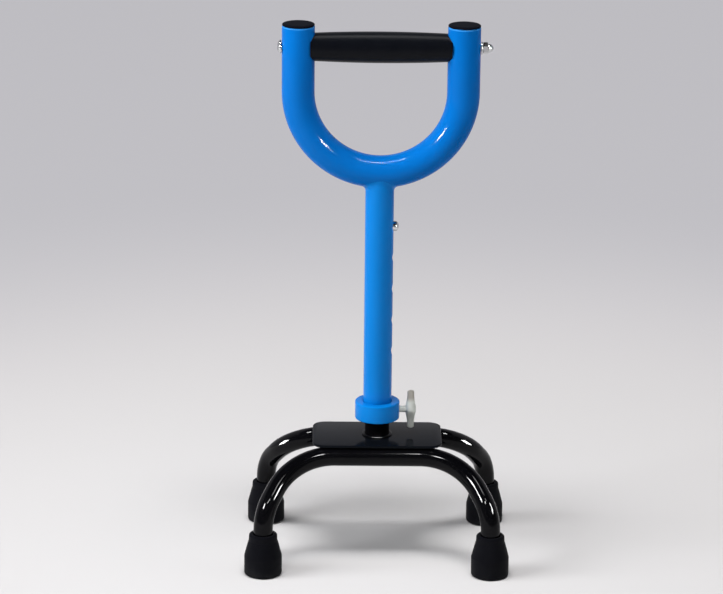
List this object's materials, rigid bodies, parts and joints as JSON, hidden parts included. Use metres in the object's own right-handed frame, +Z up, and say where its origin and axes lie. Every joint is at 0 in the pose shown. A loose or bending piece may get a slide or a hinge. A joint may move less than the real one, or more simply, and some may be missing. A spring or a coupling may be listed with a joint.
{
  "type": "quad cane",
  "caption": "Low quad cane: U-shaped tube fork with a cross grip on a telescoping stem with snap button and clamp screw, on a plate over bent leg tubes with rubber feet.",
  "frame": {"origin": "on the floor, below the axis of the post, in the middle between the four feet", "axes": "+Z up along the post, +X towards the snap button and the wing screw, +Y away from the front leg tube"},
  "size_m": [0.2036, 0.1458, 0.4208],
  "materials": {
    "blue_paint": "glossy powder coat",
    "black_paint": "glossy enamel",
    "plate_paint": "semi-gloss enamel",
    "black_plastic": "satin",
    "grip_plastic": "satin",
    "rubber": "matte",
    "zinc": "satin die-cast",
    "bright_steel": "bright plated",
    "steel": "plain",
    "nylon": "plain"
  },
  "bodies": {
    "base": {"post_tube": "black_paint", "base_plate": "plate_paint", "front_leg_tube": "black_paint", "rear_leg_tube": "black_paint", "button_spring": "steel", "front_left_ferrule": "rubber", "front_right_ferrule": "rubber", "rear_left_ferrule": "rubber", "rear_right_ferrule": "rubber", "front_left_foot_washer": "steel", "front_right_foot_washer": "steel", "rear_left_foot_washer": "steel", "rear_right_foot_washer": "steel"},
    "upper": {"fork_tube": "blue_paint", "stem_tube": "blue_paint", "collar": "blue_paint", "left_end_cap": "black_plastic", "right_end_cap": "black_plastic", "grip": "grip_plastic", "grip_sleeve": "steel", "grip_bolt": "bright_steel", "bolt_washer": "bright_steel", "cap_nut": "bright_steel"},
    "button": {"snap_button": "bright_steel"},
    "pad": {"clamp_pad": "nylon"},
    "wing": {"wing_screw": "zinc"}
  },
  "joints": [
    {"name": "height_slide", "type": "slide", "parent": "base", "child": "upper", "axis": [0, 0, 1], "range_m": [0, 0.1], "deforming": ["snap_button", "button_spring"]},
    {"name": "button_press", "type": "slide", "parent": "base", "child": "button", "axis": [-1, 0, 0], "range_m": [0, 0.0055], "stiffness_N_per_m": 800, "springref_m": -0.004, "deforming": ["button_spring"]},
    {"name": "clamp_slide", "type": "slide", "parent": "upper", "child": "pad", "axis": [1, 0, 0], "range_m": [0, 0.004]},
    {"name": "wing_turn", "type": "hinge", "parent": "pad", "child": "wing", "pos_m": [0.0243, 0, 0.1145], "axis": [1, 0, 0], "range_deg": [0, 1800]}
  ],
  "couplings": [
    {"joint": "wing_turn", "follows": "clamp_slide", "rad_per_m": 7854}
  ]
}
